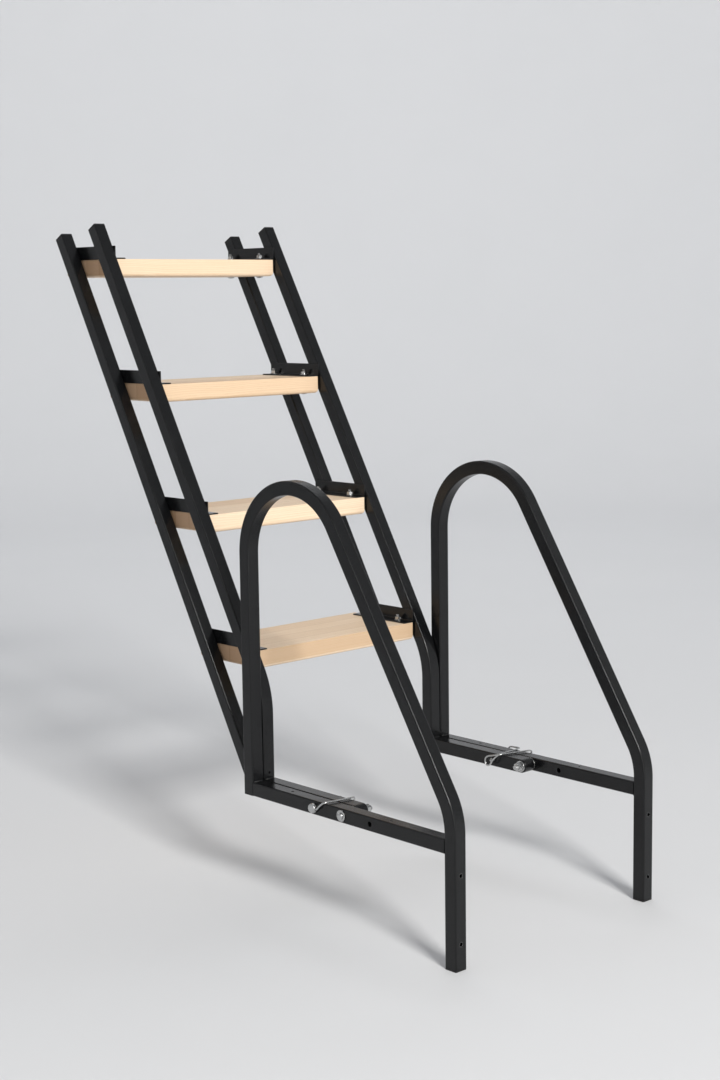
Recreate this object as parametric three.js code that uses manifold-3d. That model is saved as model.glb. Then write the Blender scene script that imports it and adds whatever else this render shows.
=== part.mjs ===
// Flip-up dock ladder: two handrail frames that bolt to a dock edge, and a four-tread ladder that
// swings over the edge on one pivot axis, shown folded up. Millimetres, +X from the left frame to
// the right frame, +Y back over the deck, +Z up. The origin is below the middle of the object, level
// with the leg ends.
import * as THREE from 'three';
import { mergeVertices } from 'three/addons/utils/BufferGeometryUtils.js';
import Module from 'manifold-3d';

const wasm = await Module();
wasm.setup();

const radians = THREE.MathUtils.degToRad;

// ---- driving dimensions ----------------------------------------------------------------------
const tube = 30;                // outside of every square tube
const wall = 2.5;
const cornerRadius = 3;         // outside corner of the tube section
const weldGap = 0.3;            // clearance that stands for a welded or resting contact

const overallWidth = 600;       // outside to outside of the handrail frames
const heelReach = 310;          // pivot axis back to the rear face of the frame
const legReach = 320;           // pivot axis forward to the front face of the leg
const legDrop = 228;            // underside of the base rail down to the leg end
const railLean = radians(32);   // sloped handrail, from the vertical
const kneeHeight = 77;          // where the leg and handrail centre lines cross
const kneeRadius = 135;
const crownRadius = 148;        // centre line of the top bend

const sideGap = 2;              // washer between a base rail and a ladder foot
const stringerLean = radians(29.5);
const stringerBend = 218;       // height where the front stringer leans back
const stringerBendRadius = 180;
const stringerLength = 1150;    // front stringer above its bend
const stringerPitch = 126;      // front to rear stringer, centre to centre
const rearExtra = 50;           // the rear stringer ends this much further along the slope

const treadCount = 4;
const firstTreadTop = 298;
const treadRise = 282.4;
const treadDepth = 200;
const treadThickness = 40;
const treadEndGap = 4;
const treadSetback = 11;        // tread front behind the front stringer's face
const treadRound = 8;           // round-over on the walking side's edges

const angleLeg = 30;
const angleThickness = 3;
const angleLength = 176;
const treadBoltSetbacks = [38, 151];
const treadBoltInset = 12;      // bolt centre from the angle's upright leg
const treadBoltDiameter = 8;
const treadHeadDiameter = 18;   // domed head on the tread's walking side
const treadHeadHeight = 4;
const treadWasherDiameter = 17;
const treadWasherThickness = 1.5;
const treadNutDiameter = 15;    // across the corners
const treadNutHeight = 8;       // washer and nut together
const treadBoltTail = 5;

const pivotDiameter = 12;
const pivotHeadDiameter = 14;
const pivotHeadHeight = 5;
const pivotWasherDiameter = 24;
const pivotWasherThickness = 2;
const spacerDiameter = 28;
const nutWasherDiameter = 25;
const nutDiameter = 21;         // across the corners
const pivotTail = 7;            // bolt end past its nut
const nutLength = 10;
const pinReach = 83;            // lock pin behind the pivot, and its second hole in front
const pinDiameter = 10;
const pinHeadDiameter = 20;
const pinHeadLength = 9;
const pinTail = 9;              // pin tip past the foot
const holeClearance = 0.6;      // on the diameter
const deckHoleDiameter = 6;
const deckHoleReaches = [167, -130];
const legHoleDiameter = 9;
const legHoleDrops = [39.5, 175];
const drainHoleDiameter = 5;
const drainHoleHeight = 43;
const bailWire = 4;
const bailHeight = 33;          // bail centre line over the base rail's underside

const plugLip = 2.5;
const plugDepth = 12;
const plugFit = 0.3;            // clearance of the plug's shank on each side

// ---- derived places --------------------------------------------------------------------------
const half = tube / 2;
const frameX = overallWidth / 2 - half;                 // centre plane of a handrail frame
const footX = frameX - tube - sideGap;                  // centre plane of a ladder side
const stringerInner = footX - half;
const heelY = heelReach - half;
const legY = half - legReach;
const slopeUp = new THREE.Vector3(0, Math.sin(stringerLean), Math.cos(stringerLean));
const slopeBack = new THREE.Vector3(0, Math.cos(stringerLean), -Math.sin(stringerLean));
const frontBend = new THREE.Vector3(0, heelY, stringerBend);
const sides = [['left', -1], ['right', 1]];

// ---- materials -------------------------------------------------------------------------------
const finish = (color, roughness, metalness) => (
  new THREE.MeshStandardMaterial({ color, roughness, metalness })
);
const blackCoat = () => finish(0x17181a, 0.38, 0);
const zinc = () => finish(0xc9cbc9, 0.3, 1);
const ash = () => finish(0xe2bd92, 0.55, 0);
const blackPlastic = () => finish(0x141415, 0.5, 0);

const assembly = new THREE.Group();

function addMesh(name, geometry, material) {
  const mesh = new THREE.Mesh(geometry, material);
  mesh.name = name;
  assembly.add(mesh);
  return mesh;
}

// ---- solids ----------------------------------------------------------------------------------
function toSolid(geometry) {
  const bare = geometry.clone();
  bare.deleteAttribute('normal');
  bare.deleteAttribute('uv');
  const merged = mergeVertices(bare, 1e-4);
  return new wasm.Manifold(new wasm.Mesh({
    numProp: 3,
    vertProperties: new Float32Array(merged.attributes.position.array),
    triVerts: new Uint32Array(merged.index.array),
  }));
}

function toGeometry(solid) {
  const mesh = solid.getMesh();
  const geometry = new THREE.BufferGeometry();
  geometry.setAttribute('position', new THREE.BufferAttribute(mesh.vertProperties, 3));
  geometry.setIndex(new THREE.BufferAttribute(mesh.triVerts, 1));
  geometry.computeVertexNormals();
  return geometry;
}

function drill(geometry, cutters) {
  return toGeometry(cutters.reduce((body, cutter) => body.subtract(toSolid(cutter)), toSolid(geometry)));
}

function join(...geometries) {
  return toGeometry(geometries.map(toSolid).reduce((body, part) => body.add(part)));
}

// ---- shapes ----------------------------------------------------------------------------------
function roundedSquare(size, radius) {
  const target = new THREE.Shape();
  const edge = size / 2;
  const inner = edge - radius;
  target.moveTo(-inner, -edge);
  target.lineTo(inner, -edge);
  target.absarc(inner, -inner, radius, -Math.PI / 2, 0);
  target.lineTo(edge, inner);
  target.absarc(inner, inner, radius, 0, Math.PI / 2);
  target.lineTo(-inner, edge);
  target.absarc(-inner, inner, radius, Math.PI / 2, Math.PI);
  target.lineTo(-edge, -inner);
  target.absarc(-inner, -inner, radius, Math.PI, Math.PI * 1.5);
  return target;
}

function tubeSection() {
  const section = roundedSquare(tube, cornerRadius);
  const inner = half - wall;
  section.holes.push(new THREE.Path([
    new THREE.Vector2(-inner, -inner), new THREE.Vector2(inner, -inner),
    new THREE.Vector2(inner, inner), new THREE.Vector2(-inner, inner),
  ]));
  return section;
}

// A centre line given by the stations where the tube's section stands.
class StationPath extends THREE.Curve {
  constructor(stations) {
    super();
    this.stations = stations;
  }

  stationAt(u) {
    return this.stations[Math.round(u * (this.stations.length - 1))];
  }

  getPointAt(u, target = new THREE.Vector3()) {
    return target.copy(this.stationAt(u).point);
  }

  getTangentAt(u, target = new THREE.Vector3()) {
    return target.copy(this.stationAt(u).tangent);
  }
}

// Stations of a polyline in a YZ plane with its corners rounded to the given radii.
function bentStations(corners, radii, stepAngle = radians(9)) {
  const stations = [];
  for (let i = 1; i < corners.length - 1; i += 1) {
    const incoming = corners[i].clone().sub(corners[i - 1]).normalize();
    const outgoing = corners[i + 1].clone().sub(corners[i]).normalize();
    if (i === 1) stations.push({ point: corners[0], tangent: incoming });
    const turn = incoming.angleTo(outgoing);
    const radius = radii[i - 1];
    const start = corners[i].clone().addScaledVector(incoming, -radius * Math.tan(turn / 2));
    const axis = incoming.clone().cross(outgoing).normalize();
    const centre = start.clone().addScaledVector(axis.clone().cross(incoming), radius);
    const steps = Math.ceil(turn / stepAngle);
    for (let k = 0; k <= steps; k += 1) {
      const angle = (turn * k) / steps;
      const spoke = start.clone().sub(centre).applyAxisAngle(axis, angle);
      const tangent = incoming.clone().applyAxisAngle(axis, angle);
      stations.push({ point: centre.clone().add(spoke), tangent });
    }
  }
  const last = corners[corners.length - 1];
  stations.push({ point: last, tangent: last.clone().sub(corners[corners.length - 2]).normalize() });
  return stations;
}

function sweep(section, stations) {
  return new THREE.ExtrudeGeometry(section, {
    extrudePath: new StationPath(stations), steps: stations.length - 1, curveSegments: 2,
  });
}

function straightStations(from, to) {
  const tangent = to.clone().sub(from).normalize();
  return [{ point: from, tangent }, { point: to, tangent }];
}

function straightTube(from, to) {
  return sweep(tubeSection(), straightStations(from, to));
}

function box(low, high) {
  const size = new THREE.Vector3().subVectors(high, low);
  const geometry = new THREE.BoxGeometry(size.x, size.y, size.z);
  return geometry.translate((low.x + high.x) / 2, (low.y + high.y) / 2, (low.z + high.z) / 2);
}

// A round bar or cutter along X, Y or Z through a point.
function bar(axis, diameter, length, x, y, z, facets = 16) {
  const geometry = new THREE.CylinderGeometry(diameter / 2, diameter / 2, length, facets);
  if (axis === 'x') geometry.rotateZ(Math.PI / 2);
  if (axis === 'z') geometry.rotateX(Math.PI / 2);
  return geometry.translate(x, y, z);
}

// A turned piece about X: profile points are [distance along X, radius], starting and ending on the axis.
function turned(profile, sign, facets = 20) {
  const points = profile.map(([along, radius]) => new THREE.Vector2(radius, along));
  const geometry = new THREE.LatheGeometry(points, facets);
  geometry.rotateZ(-Math.PI / 2);
  if (sign < 0) geometry.rotateY(Math.PI);
  return geometry;
}

// ---- handrail frames -------------------------------------------------------------------------
function handrailStations(x) {
  const slopeY = (z) => legY + (z - kneeHeight) * Math.tan(railLean);
  const crownZ = kneeHeight + (heelY - legY) / Math.tan(railLean);
  const corners = [
    new THREE.Vector3(x, heelY, 0),
    new THREE.Vector3(x, slopeY(crownZ), crownZ),
    new THREE.Vector3(x, legY, kneeHeight),
    new THREE.Vector3(x, legY, plugLip + weldGap - legDrop),
  ];
  return bentStations(corners, [crownRadius, kneeRadius]);
}

function addHandrailFrame(side, sign) {
  const x = sign * frameX;
  const legHoles = legHoleDrops.map((drop) => bar('y', legHoleDiameter, 2 * tube, x, legY, -drop));
  const handrail = sweep(tubeSection(), handrailStations(x));
  addMesh(`${side}_handrail_tube`, drill(handrail, legHoles), blackCoat());

  const rail = straightTube(
    new THREE.Vector3(x, legY + half + weldGap, half),
    new THREE.Vector3(x, heelY - half - weldGap, half),
  );
  const railHoles = [
    bar('x', pivotDiameter + holeClearance, 2 * tube, x, 0, half),
    bar('x', pinDiameter + holeClearance, 2 * tube, x, pinReach, half),
    bar('x', pinDiameter + holeClearance, 2 * tube, x, -pinReach, half),
    ...deckHoleReaches.map((reach) => bar('z', deckHoleDiameter, 2 * tube, x, reach, half)),
  ];
  addMesh(`${side}_base_rail`, drill(rail, railHoles), blackCoat());

  addPlug(`${side}_leg_plug`, new THREE.Vector3(x, legY, -legDrop), new THREE.Vector3(0, 0, -1));
}

// A square end plug: its lip closes the tube's end at tip, and its shank points into the tube.
function addPlug(name, tip, outward) {
  const lip = new THREE.ExtrudeGeometry(roundedSquare(tube, cornerRadius), {
    depth: plugLip, bevelEnabled: false, curveSegments: 2,
  });
  const shankSize = tube - 2 * wall - 2 * plugFit;
  const shank = box(
    new THREE.Vector3(-shankSize / 2, -shankSize / 2, -plugDepth),
    new THREE.Vector3(shankSize / 2, shankSize / 2, plugLip / 2),
  );
  const plug = addMesh(name, join(lip, shank), blackPlastic());
  plug.quaternion.setFromUnitVectors(new THREE.Vector3(0, 0, 1), outward);
  plug.position.copy(tip).addScaledVector(outward, -plugLip);
}

// ---- ladder ----------------------------------------------------------------------------------
function addFoot(side, sign) {
  const x = sign * footX;
  const inner = half - wall;
  const outside = join(
    sweep(roundedSquare(tube, cornerRadius), straightStations(
      new THREE.Vector3(x, 0, half),
      new THREE.Vector3(x, heelReach, half),
    )),
    bar('x', tube, tube, x, 0, half, 40),
  );
  const hollow = box(
    new THREE.Vector3(x - inner, 0, half - inner),
    new THREE.Vector3(x + inner, heelReach + tube, half + inner),
  );
  const holes = [
    bar('x', pivotDiameter + holeClearance, 2 * tube, x, 0, half),
    bar('x', pinDiameter + holeClearance, 2 * tube, x, pinReach, half),
  ];
  addMesh(`${side}_ladder_foot`, drill(outside, [hollow, ...holes]), blackCoat());
}

function addStringers(side, sign) {
  const x = sign * footX;
  const bend = frontBend.clone().setX(x);
  const plugRoom = plugLip + weldGap;

  const frontTip = bend.clone().addScaledVector(slopeUp, stringerLength);
  const frontCorners = [
    new THREE.Vector3(x, heelY, tube + weldGap),
    bend,
    frontTip.clone().addScaledVector(slopeUp, -plugRoom),
  ];
  const front = sweep(tubeSection(), bentStations(frontCorners, [stringerBendRadius], radians(6)));
  const drain = bar('y', drainHoleDiameter, tube, x, heelY - half, drainHoleHeight, 12);
  addMesh(`${side}_front_stringer`, drill(front, [drain]), blackCoat());
  addPlug(`${side}_front_stringer_plug`, frontTip, slopeUp);

  const rearTip = frontTip.clone()
    .addScaledVector(slopeBack, stringerPitch)
    .addScaledVector(slopeUp, rearExtra);
  const rearStart = rearTip.clone().addScaledVector(slopeUp, -2 * stringerLength);
  const rear = toSolid(straightTube(rearStart, rearTip.clone().addScaledVector(slopeUp, -plugRoom)));
  const keep = box(
    new THREE.Vector3(x - tube, heelReach + weldGap, 0),
    new THREE.Vector3(x + tube, rearTip.y + tube, rearTip.z + tube),
  );
  addMesh(`${side}_rear_stringer`, toGeometry(rear.intersect(toSolid(keep))), blackCoat());
  addPlug(`${side}_rear_stringer_plug`, rearTip, slopeUp);
}

function treadTop(index) {
  return firstTreadTop + index * treadRise;
}

// Front edge of a tread whose top is at the given height.
function treadFront(height) {
  const faceOffset = half / Math.cos(stringerLean);
  return frontBend.y + (height - frontBend.z) * Math.tan(stringerLean) - faceOffset + treadSetback;
}

function boltPlaces(index, sign) {
  const x = sign * (stringerInner - weldGap - angleThickness - treadBoltInset);
  return treadBoltSetbacks.map((setback) => [x, treadFront(treadTop(index)) + setback]);
}

function treadSection() {
  const shape = new THREE.Shape();
  shape.moveTo(0, 0);
  shape.lineTo(0, treadRound - treadThickness);
  shape.absarc(treadRound, treadRound - treadThickness, treadRound, Math.PI, Math.PI * 1.5);
  shape.lineTo(treadDepth - treadRound, -treadThickness);
  shape.absarc(treadDepth - treadRound, treadRound - treadThickness, treadRound, -Math.PI / 2, 0);
  shape.lineTo(treadDepth, 0);
  return shape;
}

function addTread(index) {
  const top = treadTop(index);
  const length = 2 * (stringerInner - treadEndGap);
  const slab = new THREE.ExtrudeGeometry(treadSection(), {
    depth: length, bevelEnabled: false, curveSegments: 4,
  });
  // The section's axes become +Y and +Z, and its depth runs along +X.
  slab.applyMatrix4(new THREE.Matrix4().makeBasis(
    new THREE.Vector3(0, 1, 0), new THREE.Vector3(0, 0, 1), new THREE.Vector3(1, 0, 0),
  ));
  slab.translate(-length / 2, treadFront(top), top);
  const places = [...boltPlaces(index, -1), ...boltPlaces(index, 1)];
  const holes = places.map(([x, y]) => (
    bar('z', treadBoltDiameter + holeClearance, 3 * treadThickness, x, y, top, 12)
  ));
  addMesh(`tread_${index + 1}`, drill(slab, holes), ash());
}

// Angle under the tread in use: an upright leg on the stringers and a flat leg on the tread.
function addAngle(side, sign, index) {
  const base = treadTop(index) + weldGap;
  const shape = new THREE.Shape();
  shape.moveTo(0, 0);
  shape.lineTo(angleLeg, 0);
  shape.lineTo(angleLeg, angleThickness);
  shape.lineTo(angleThickness, angleThickness);
  shape.lineTo(angleThickness, angleLeg);
  shape.lineTo(0, angleLeg);
  const angle = new THREE.ExtrudeGeometry(shape, { depth: angleLength, bevelEnabled: false });
  const up = new THREE.Vector3(0, 0, 1);
  const inward = new THREE.Vector3(-sign, 0, 0);
  const along = new THREE.Vector3(0, -1, 0);
  // The corner line runs along Y, and the flat leg points inwards. The two legs of the section are
  // alike, so they change places on the right to keep the axes right-handed.
  angle.applyMatrix4(sign < 0
    ? new THREE.Matrix4().makeBasis(inward, up, along)
    : new THREE.Matrix4().makeBasis(up, inward, along));
  const front = treadFront(treadTop(index));
  angle.translate(sign * (stringerInner - weldGap), front + angleLength, base);
  const holes = boltPlaces(index, sign).map(([x, y]) => (
    bar('z', treadBoltDiameter + holeClearance, tube, x, y, base, 12)
  ));
  addMesh(`${side}_tread_bracket_${index + 1}`, drill(angle, holes), blackCoat());
}

// Coach bolt through a tread and its angle, with the washer and nut made on it.
function treadBolt() {
  const shank = treadBoltDiameter / 2;
  const headBottom = -treadThickness - weldGap;
  const seat = angleThickness + 2 * weldGap;
  const nutTop = seat + treadNutHeight;
  const head = treadHeadDiameter / 2;
  const washer = treadWasherDiameter / 2;
  const washerTop = seat + treadWasherThickness;
  const tip = nutTop + treadBoltTail;
  const profile = [
    [0, headBottom - treadHeadHeight], [0.55 * head, headBottom - 0.8 * treadHeadHeight],
    [head, headBottom - 0.25 * treadHeadHeight], [head, headBottom],
    [shank, headBottom], [shank, seat], [washer, seat], [washer, washerTop],
    [shank, washerTop], [shank, tip], [0, tip],
  ];
  const points = profile.map(([radius, height]) => new THREE.Vector2(radius, height));
  const body = new THREE.LatheGeometry(points, 10).rotateX(Math.PI / 2);
  const nutBottom = seat + treadWasherThickness / 2;
  const nut = bar('z', treadNutDiameter, nutTop - nutBottom, 0, 0, (nutBottom + nutTop) / 2, 6);
  return join(body, nut);
}

function addTreadBolts(side, sign, index) {
  boltPlaces(index, sign).forEach(([x, y], place) => {
    const end = place === 0 ? 'front' : 'rear';
    const bolt = addMesh(`${side}_tread_bolt_${index + 1}_${end}`, treadBolt(), zinc());
    bolt.position.set(x, y, treadTop(index));
  });
}

// ---- pivots and lock pins --------------------------------------------------------------------
// A washer or a nut that threads over the pivot bolt. It starts at a reach inwards from the outer
// face of the frame.
function addOverPivot(name, sign, diameter, thickness, reach, facets = 20) {
  const blank = bar('x', diameter, thickness, 0, 0, 0, facets);
  const bore = bar('x', pivotDiameter + holeClearance, 4 * tube, 0, 0, 0);
  const mesh = addMesh(name, drill(blank, [bore]), zinc());
  mesh.position.set(sign * (overallWidth / 2 - reach - thickness / 2), 0, half);
}

function addPivot(side, sign) {
  const washerReach = weldGap + pivotWasherThickness;
  const nutWasherStart = 2 * tube + sideGap + weldGap;
  const nutStart = nutWasherStart + pivotWasherThickness + weldGap;
  const spacerLength = sideGap - 2 * weldGap;
  addOverPivot(`${side}_pivot_washer`, sign, pivotWasherDiameter, pivotWasherThickness, -washerReach);
  addOverPivot(`${side}_pivot_spacer`, sign, spacerDiameter, spacerLength, tube + weldGap);
  addOverPivot(`${side}_nut_washer`, sign, nutWasherDiameter, pivotWasherThickness, nutWasherStart);
  addOverPivot(`${side}_pivot_nut`, sign, nutDiameter, nutLength, nutStart, 6);

  const headSeat = washerReach + weldGap;
  const head = pivotHeadDiameter / 2;
  const shank = pivotDiameter / 2;
  const chamfer = 1;
  const tip = -(nutStart + nutLength + pivotTail);
  const profile = [
    [tip, 0], [tip, shank - chamfer], [tip + chamfer, shank], [headSeat, shank], [headSeat, head],
    [headSeat + 0.4 * pivotHeadHeight, head], [headSeat + 0.84 * pivotHeadHeight, 0.64 * head],
    [headSeat + pivotHeadHeight, 0],
  ];
  const bolt = addMesh(`${side}_pivot_bolt`, turned(profile, sign), zinc());
  bolt.position.set(sign * overallWidth / 2, 0, half);
}

// Centre lines of the bails: distance in from the frame's outer face, then +Y and +Z. A wire leaves
// the pin's head along Y, which is the line it swings about, and crosses over both tubes. The left
// one ends in a hook round the pin's tip, and the right one goes round it and back to the head.
const bailRoutes = {
  left: [
    [-5.6, 72.4, 15], [-5.8, 68, 16], [-6, 62, 22], [-4, 53, 30], [1, 46, bailHeight],
    [30, 41, bailHeight], [62, 36, bailHeight], [70, 37, 31], [75, 44, 24], [76.5, 60, 14],
    [76.5, 78, 8], [76.5, 88, 7.5], [76, 93, 14], [75.5, 90, 21], [75, 83, 23],
  ],
  right: [
    [-5.6, 93.6, 15], [-5.6, 96.5, 15], [-5.6, 99, 18], [-5.4, 99, 24], [-5, 92, 31],
    [-4, 76, bailHeight], [-3, 64, bailHeight], [30, 60, bailHeight], [60, 59, bailHeight],
    [71, 64, 28], [75, 72, 19],
    [76, 80, 7], [76, 88, 4], [76, 94, 10], [76, 93, 20], [76, 84, 26], [75, 72, 29],
    [70, 60, 32], [64, 54, bailHeight], [25, 43, bailHeight], [-4, 32, bailHeight],
    [-9, 32, 27], [-9, 44, 17], [-7, 58, 14.5], [-5.6, 68, 15], [-5.6, 72.4, 15],
  ],
};

function addLockPin(side, sign) {
  const outer = overallWidth / 2;
  const tip = -(2 * tube + sideGap + pinTail);
  const shank = pinDiameter / 2;
  const head = pinHeadDiameter / 2;
  const headTop = weldGap + pinHeadLength;
  const lead = 2;
  const edge = 1;
  const profile = [
    [tip, 0], [tip, shank - lead], [tip + lead, shank], [weldGap, shank], [weldGap, head - edge],
    [weldGap + edge, head], [headTop - edge, head], [headTop, head - edge], [headTop, 0],
  ];
  const pin = addMesh(`${side}_lock_pin`, turned(profile, sign), zinc());
  pin.position.set(sign * outer, pinReach, half);

  const points = bailRoutes[side].map(([inward, y, z]) => (
    new THREE.Vector3(sign * (outer - inward), y, z)
  ));
  const curve = new THREE.CatmullRomCurve3(points, false, 'centripetal');
  const wire = new THREE.Shape().absarc(0, 0, bailWire / 2, 0, 2 * Math.PI);
  const steps = 3 * points.length;
  const bail = new THREE.ExtrudeGeometry(wire, { extrudePath: curve, steps, curveSegments: 3 });
  addMesh(`${side}_pin_bail`, bail, zinc());
}

// ---- assembly --------------------------------------------------------------------------------
for (const [side, sign] of sides) {
  addHandrailFrame(side, sign);
  addFoot(side, sign);
  addStringers(side, sign);
  addPivot(side, sign);
  addLockPin(side, sign);
}
for (let index = 0; index < treadCount; index += 1) {
  addTread(index);
  for (const [side, sign] of sides) {
    addAngle(side, sign, index);
    addTreadBolts(side, sign, index);
  }
}

const bounds = new THREE.Box3().setFromObject(assembly, true);
assembly.position.set(0, -(bounds.min.y + bounds.max.y) / 2, -bounds.min.z);

export default assembly;
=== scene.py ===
"""Flip-up dock ladder: fine tubes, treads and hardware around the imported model. Metres, +Z up."""
import math

import bmesh
import bpy
from mathutils import Matrix, Vector


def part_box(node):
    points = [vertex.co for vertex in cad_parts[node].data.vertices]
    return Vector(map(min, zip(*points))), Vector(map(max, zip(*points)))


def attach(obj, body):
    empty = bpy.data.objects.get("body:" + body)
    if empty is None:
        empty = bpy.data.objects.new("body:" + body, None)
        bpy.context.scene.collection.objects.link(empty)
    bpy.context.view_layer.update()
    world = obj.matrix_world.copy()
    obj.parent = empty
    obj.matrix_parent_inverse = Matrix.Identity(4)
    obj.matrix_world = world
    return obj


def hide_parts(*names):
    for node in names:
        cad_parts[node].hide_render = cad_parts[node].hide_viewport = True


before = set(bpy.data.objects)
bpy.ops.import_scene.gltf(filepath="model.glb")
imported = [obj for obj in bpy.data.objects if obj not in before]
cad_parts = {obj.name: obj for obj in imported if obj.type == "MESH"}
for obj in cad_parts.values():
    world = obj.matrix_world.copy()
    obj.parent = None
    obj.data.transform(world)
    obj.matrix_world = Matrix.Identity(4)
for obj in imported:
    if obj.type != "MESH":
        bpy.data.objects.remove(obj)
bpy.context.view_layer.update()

# ---- driving dimensions --------------------------------------------------------------------
MM = 0.001
TUBE = 30 * MM
WALL = 2.5 * MM
CORNER = 3.2 * MM
WELD_GAP = 0.3 * MM
HALF = TUBE / 2

HEEL_REACH = 310 * MM           # pivot axis to the rear face of the frames
LEG_REACH = 320 * MM
RAIL_LEAN = math.radians(32)
KNEE_HEIGHT = 77 * MM
KNEE_RADIUS = 135 * MM
CROWN_RADIUS = 148 * MM
SIDE_GAP = 2 * MM

STRINGER_LEAN = math.radians(29.5)
STRINGER_BEND = 218 * MM
STRINGER_BEND_RADIUS = 180 * MM
STRINGER_LENGTH = 1150 * MM
STRINGER_PITCH = 126 * MM
REAR_EXTRA = 50 * MM

TREADS = (1, 2, 3, 4)
TREAD_ROUND = 8 * MM
BOLT_SETBACKS = (38 * MM, 151 * MM)
BOLT_INSET = 12 * MM
BOLT_DIAMETER = 8 * MM
TREAD_WASHER_THICKNESS = 1.5 * MM
TREAD_NUT_FLATS = 13 * MM
TREAD_NUT_HEIGHT = 6.5 * MM
ANGLE_THICKNESS = 3 * MM

PIVOT_DIAMETER = 12 * MM
PIVOT_WASHER_THICKNESS = 2 * MM
PIVOT_NUT_FLATS = 18 * MM
PIVOT_NUT_HEIGHT = 10 * MM
PIVOT_TAIL = 7 * MM             # bolt end past its nut
PIN_DIAMETER = 10 * MM
PIN_TAIL = 9 * MM               # pin tip past the foot
PIN_HEAD_RADIUS = 10 * MM
PIN_HEAD_LENGTH = 9 * MM
PIN_REACH = 83 * MM
BAIL_WIRE = 3.8 * MM
BAIL_PLAY = 0.9 * MM             # room for the wire in the pin head's cross hole
BAIL_REACH = 5.6 * MM           # cross hole out from the frame's outer face
HOLE_CLEARANCE = 0.6 * MM
LEG_HOLE_DIAMETER = 9 * MM
LEG_HOLE_DROPS = (39.5 * MM, 175 * MM)
DECK_HOLE_DIAMETER = 6 * MM
DECK_HOLE_REACHES = (167 * MM, -130 * MM)
DRAIN_DIAMETER = 5 * MM
DRAIN_HEIGHT = 43 * MM
WELD_RADIUS = 2.6 * MM
BIG_WELD_RADIUS = 4.6 * MM
CREASE = math.radians(48)       # edges sharper than this stay edges
PLUG_LIP = 2.5 * MM

# ---- places taken from the frame -----------------------------------------------------------
OUTER_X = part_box("right_handrail_tube")[1].x
DECK_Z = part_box("left_base_rail")[0].z
PIVOT_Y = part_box("left_handrail_tube")[1].y - HEEL_REACH
FRAME_X = OUTER_X - HALF
FOOT_X = FRAME_X - TUBE - SIDE_GAP
STRINGER_INNER = FOOT_X - HALF
HEEL_Y = HEEL_REACH - HALF
LEG_Y = HALF - LEG_REACH
LEG_DROP = DECK_Z
SIDES = (("left", -1), ("right", 1))
X_AXIS = Vector((1, 0, 0))
SLOPE_UP = Vector((0, math.sin(STRINGER_LEAN), math.cos(STRINGER_LEAN)))
SLOPE_BACK = Vector((0, math.cos(STRINGER_LEAN), -math.sin(STRINGER_LEAN)))


def at(x, y, z):
    """A point from the middle plane, the pivot axis and the underside of the base rails."""
    return Vector((x, PIVOT_Y + y, DECK_Z + z))


# ---- node helpers --------------------------------------------------------------------------
class Nodes:
    """Adds shader nodes to a material, and links each one's inputs as it is made."""

    def __init__(self, material):
        material.use_nodes = True
        self.tree = material.node_tree
        self.shader = self.tree.nodes["Principled BSDF"]

    def add(self, kind, inputs=None, **settings):
        node = self.tree.nodes.new(kind)
        for key, value in settings.items():
            setattr(node, key, value)
        for key, value in (inputs or {}).items():
            self.feed(node.inputs[key], value)
        return node

    def feed(self, socket, value):
        if isinstance(value, bpy.types.NodeSocket):
            self.tree.links.new(value, socket)
        else:
            socket.default_value = value

    def math(self, operation, *values):
        inputs = dict(enumerate(values))
        return self.add("ShaderNodeMath", inputs, operation=operation).outputs[0]

    def noise(self, vector, scale, detail=3.0, distortion=0.0):
        inputs = {"Vector": vector, "Scale": scale, "Detail": detail, "Distortion": distortion}
        return self.add("ShaderNodeTexNoise", inputs).outputs["Fac"]

    def stretched(self, vector, x, y, z):
        inputs = {"Vector": vector, "Scale": (x, y, z)}
        return self.add("ShaderNodeMapping", inputs).outputs["Vector"]

    def spread(self, value, low, high, to_low, to_high):
        inputs = {"Value": value, "From Min": low, "From Max": high, "To Min": to_low, "To Max": to_high}
        return self.add("ShaderNodeMapRange", inputs).outputs["Result"]

    def blend(self, factor, one, two, mode="MIX"):
        node = self.add("ShaderNodeMix", data_type="RGBA", blend_type=mode)
        self.feed(node.inputs[0], factor)
        self.feed(node.inputs[6], one)
        self.feed(node.inputs[7], two)
        return node.outputs[2]

    def bump(self, height, strength, distance, below=None):
        inputs = {"Height": height, "Strength": strength, "Distance": distance}
        if below is not None:
            inputs["Normal"] = below
        return self.add("ShaderNodeBump", inputs).outputs["Normal"]

    def surface(self, **inputs):
        for key, value in inputs.items():
            self.feed(self.shader.inputs[key.replace("_", " ")], value)


def grey(level, tint=(1.0, 1.0, 1.0)):
    return (level * tint[0], level * tint[1], level * tint[2], 1.0)


# ---- materials -----------------------------------------------------------------------------
def powder_coat():
    """Satin black powder coat: fine orange peel, soft sheen changes and a little dust."""
    material = bpy.data.materials.new("powder_coat")
    n = Nodes(material)
    place = n.add("ShaderNodeTexCoord").outputs["Object"]
    peel = n.noise(place, 620.0, 2.0)
    patches = n.noise(place, 9.0, 4.0)
    dust = n.spread(n.noise(place, 1500.0, 1.0), 0.66, 0.74, 0.0, 0.35)
    base = n.blend(patches, grey(0.0032, (0.94, 1.0, 1.14)), grey(0.0056, (0.95, 1.0, 1.10)))
    n.surface(
        Base_Color=n.blend(dust, base, grey(0.016)),
        Roughness=n.spread(patches, 0.3, 0.7, 0.18, 0.26),
        Specular_IOR_Level=0.33,
        Normal=n.bump(peel, 0.22, 0.0006),
    )
    return material


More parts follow.
